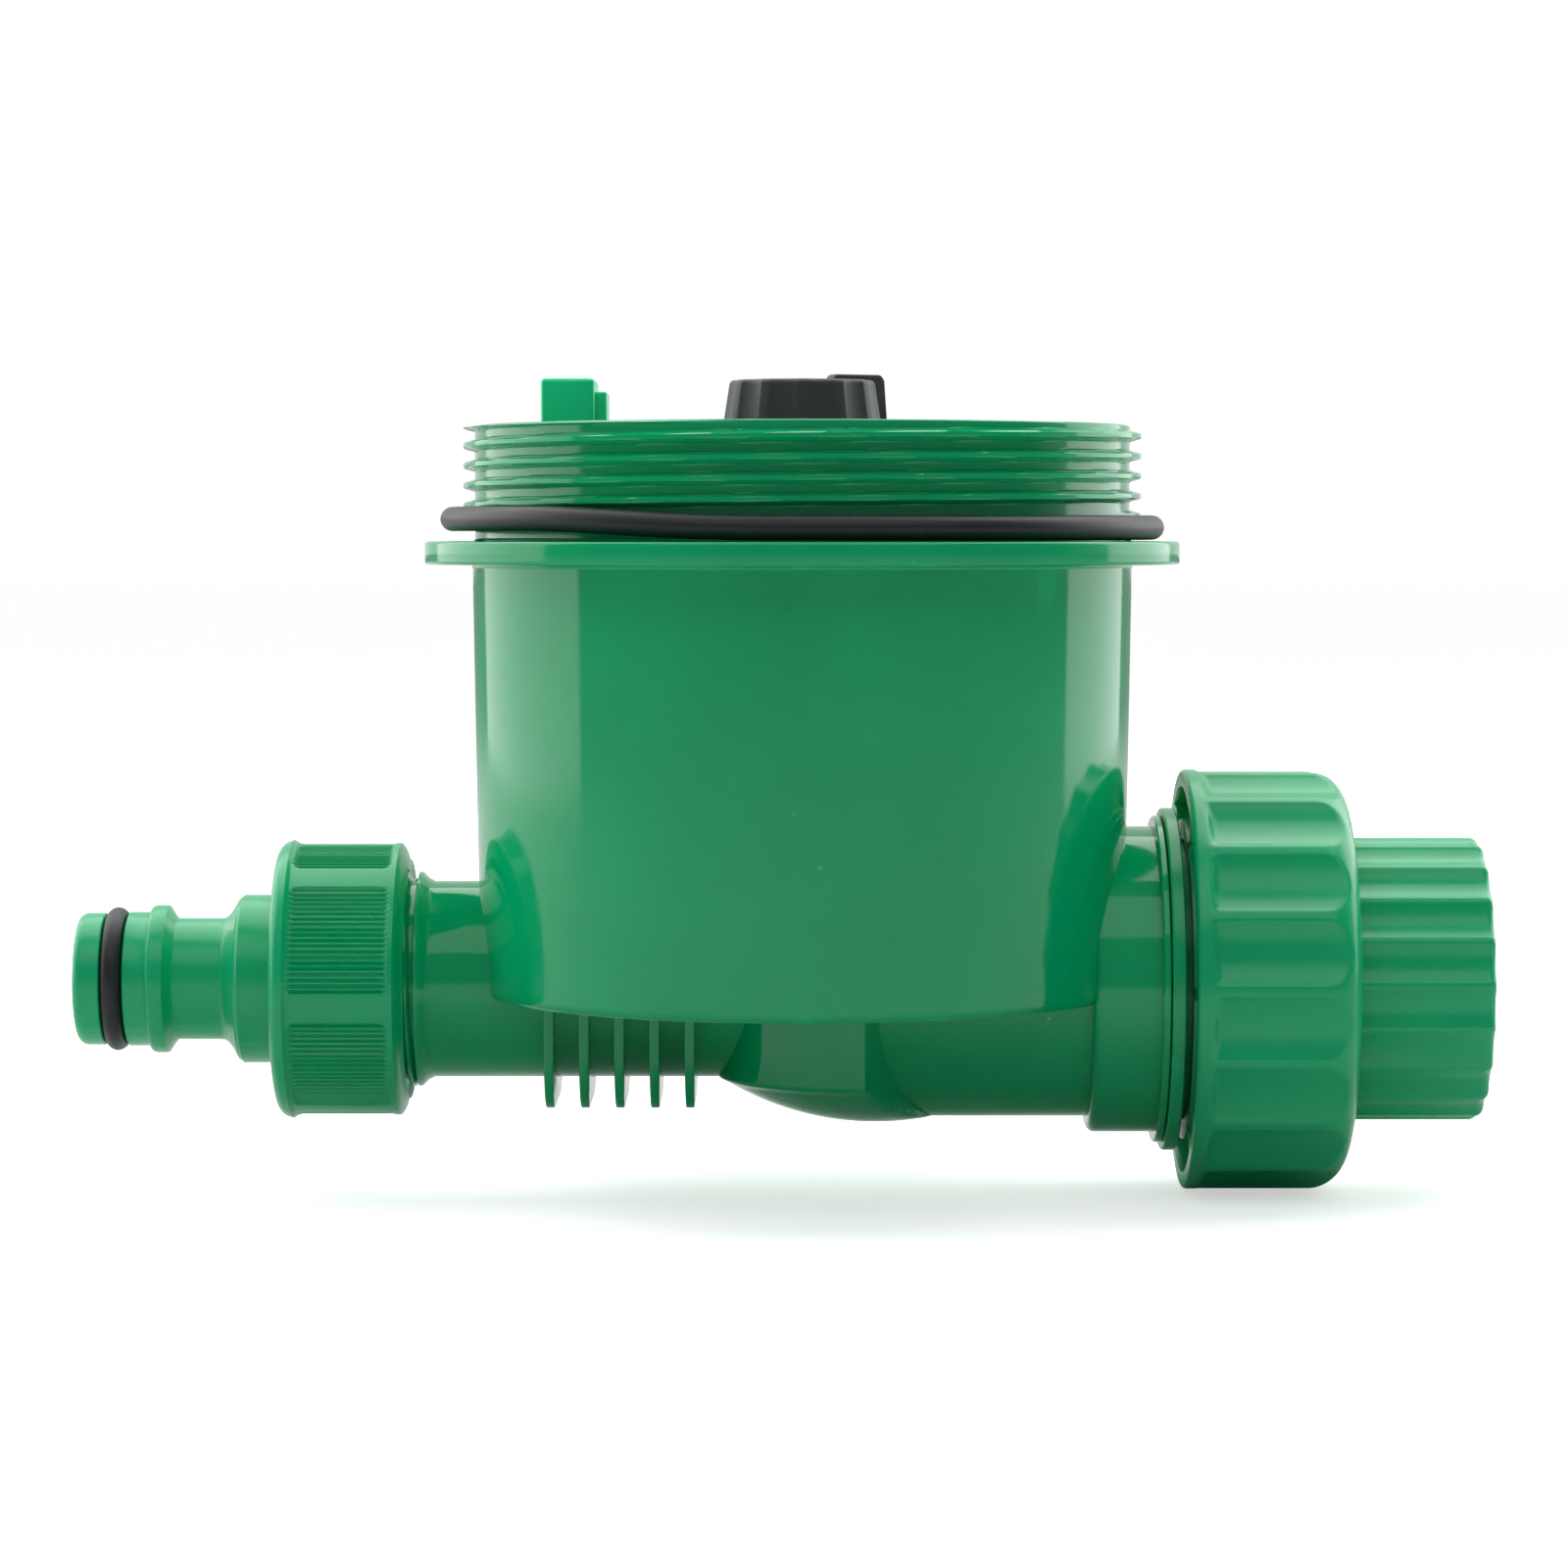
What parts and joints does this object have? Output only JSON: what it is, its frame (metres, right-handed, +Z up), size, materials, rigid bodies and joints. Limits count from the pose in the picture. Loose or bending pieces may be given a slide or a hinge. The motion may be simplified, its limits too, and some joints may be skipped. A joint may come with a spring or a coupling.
{
  "type": "drip irrigation timer",
  "caption": "Tap-mounted watering timer: motorised ball valve in a round cup, with a screw union inlet, a quick-fit hose outlet and a lift-out control module with a mode knob.",
  "frame": {"origin": "centre of the tap inlet's mouth, at the end face of the tap adaptor", "axes": "+X out of the tap inlet along the water pipe, +Z up through the control knob, +Y to the far side"},
  "size_m": [0.1657, 0.0888, 0.0963],
  "materials": {
    "green": "glossy moulded green plastic",
    "light_green": "glossy moulded green plastic, a shade lighter",
    "black_plastic": "fine-textured black plastic",
    "black_rubber": "satin black rubber",
    "seat_white": "waxy white seat plastic",
    "gear_white": "natural white gear plastic",
    "grey_plastic": "grey moulded plastic",
    "bright_steel": "bright plated steel",
    "brass_parts": "turned brass",
    "red_wire": "red wire insulation",
    "black_wire": "black wire insulation",
    "dial_label": "printed black film",
    "cell_jacket": "printed cell jacket",
    "circuit_board": "solder-masked board",
    "red_lens": "clear red lens"
  },
  "bodies": {
    "housing": {"housing": "green", "seat_ring_inlet": "seat_white", "seat_ring_outlet": "seat_white", "gear_axle_a": "bright_steel", "gear_axle_b": "bright_steel", "gearbox_base": "grey_plastic", "gearbox_cover": "grey_plastic", "gearbox_screw_1": "bright_steel", "gearbox_screw_2": "bright_steel", "gearbox_screw_3": "bright_steel", "gearbox_screw_4": "bright_steel", "motor": "bright_steel", "motor_lead_1": "red_wire", "motor_lead_2": "black_wire", "plug_block": "black_plastic", "plug_pin_1": "brass_parts", "plug_pin_2": "brass_parts", "lid_o_ring": "black_rubber", "inlet_nipple": "green", "nipple_o_ring": "black_rubber"},
    "valve": {"valve_ball": "brass_parts", "valve_stem": "bright_steel", "stem_o_ring_1": "black_rubber", "stem_o_ring_2": "black_rubber", "output_gear": "gear_white"},
    "gear_b": {"compound_gear_b": "gear_white"},
    "gear_a": {"compound_gear_a": "gear_white"},
    "motor_shaft": {"motor_pinion": "brass_parts"},
    "union_nut": {"union_nut": "green"},
    "union_washer": {"union_washer": "black_rubber"},
    "tap_adaptor": {"tap_adaptor": "green", "filter_washer": "black_rubber"},
    "hose_washer": {"hose_washer": "black_rubber"},
    "hose_connector": {"hose_connector": "green", "nose_o_ring": "black_rubber"},
    "control_module": {"control_panel": "light_green", "panel_seal": "black_rubber", "panel_label": "dial_label", "battery_tray": "light_green", "module_screw_1": "bright_steel", "module_screw_2": "bright_steel", "battery_1": "cell_jacket", "battery_2": "cell_jacket", "battery_spring_1": "bright_steel", "battery_spring_2": "bright_steel", "spring_contact_1": "bright_steel", "spring_contact_2": "bright_steel", "nub_contact_1": "bright_steel", "nub_contact_2": "bright_steel", "control_board": "circuit_board", "rotary_switch": "grey_plastic", "button_switch": "grey_plastic", "status_light": "red_lens"},
    "mode_knob": {"mode_knob": "black_plastic", "switch_shaft": "bright_steel"},
    "reset_button": {"reset_button": "light_green"}
  },
  "joints": [
    {"name": "valve_turn", "type": "hinge", "parent": "housing", "child": "valve", "pos_m": [-0.07106, 0, 0.02], "axis": [0, 0, 1], "range_deg": [0, 90]},
    {"name": "gear_b_turn", "type": "hinge", "parent": "housing", "child": "gear_b", "pos_m": [-0.08704, 0.00923, 0.024], "axis": [0, 0, 1], "range_deg": [-324.01, 0.01]},
    {"name": "gear_a_turn", "type": "hinge", "parent": "housing", "child": "gear_a", "pos_m": [-0.09416, -0.00605, 0.028], "axis": [0, 0, 1], "range_deg": [-0.01, 1036.81]},
    {"name": "motor_turn", "type": "hinge", "parent": "housing", "child": "motor_shaft", "pos_m": [-0.08612, -0.02085, 0.03], "axis": [0, 0, 1], "range_deg": [-3317.8, 0.01]},
    {"name": "nut_turn", "type": "hinge", "parent": "housing", "child": "union_nut", "pos_m": [-0.0256, 0, 0], "axis": [1, 0, 0], "continuous": true},
    {"name": "adaptor_slide", "type": "slide", "parent": "union_nut", "child": "union_washer", "axis": [1, 0, 0], "range_m": [0, 0.01385]},
    {"name": "adaptor_turn", "type": "hinge", "parent": "union_washer", "child": "tap_adaptor", "pos_m": [-0.015, 0, 0], "axis": [1, 0, 0], "range_deg": [0, 2160]},
    {"name": "hose_slide", "type": "slide", "parent": "housing", "child": "hose_washer", "axis": [-1, 0, 0], "range_m": [0, 0.0127]},
    {"name": "hose_turn", "type": "hinge", "parent": "hose_washer", "child": "hose_connector", "pos_m": [-0.145, 0, 0], "axis": [-1, 0, 0], "range_deg": [0, 2520]},
    {"name": "module_lift", "type": "slide", "parent": "housing", "child": "control_module", "axis": [0, 0, 1], "range_m": [0, 0.04]},
    {"name": "knob_turn", "type": "hinge", "parent": "control_module", "child": "mode_knob", "pos_m": [-0.08006, 0, 0.065], "axis": [0, 0, 1], "range_deg": [-150, 150]},
    {"name": "button_press", "type": "slide", "parent": "control_module", "child": "reset_button", "axis": [0, 0, -1], "range_m": [0, 0.001], "stiffness_N_per_m": 600}
  ],
  "couplings": [
    {"joint": "gear_b_turn", "follows": "valve_turn", "ratio": -3.6},
    {"joint": "gear_a_turn", "follows": "valve_turn", "ratio": 11.52},
    {"joint": "motor_turn", "follows": "valve_turn", "ratio": -36.864},
    {"joint": "adaptor_slide", "follows": "adaptor_turn", "m_per_rad": 0.00036749},
    {"joint": "hose_slide", "follows": "hose_turn", "m_per_rad": 0.00028871}
  ]
}
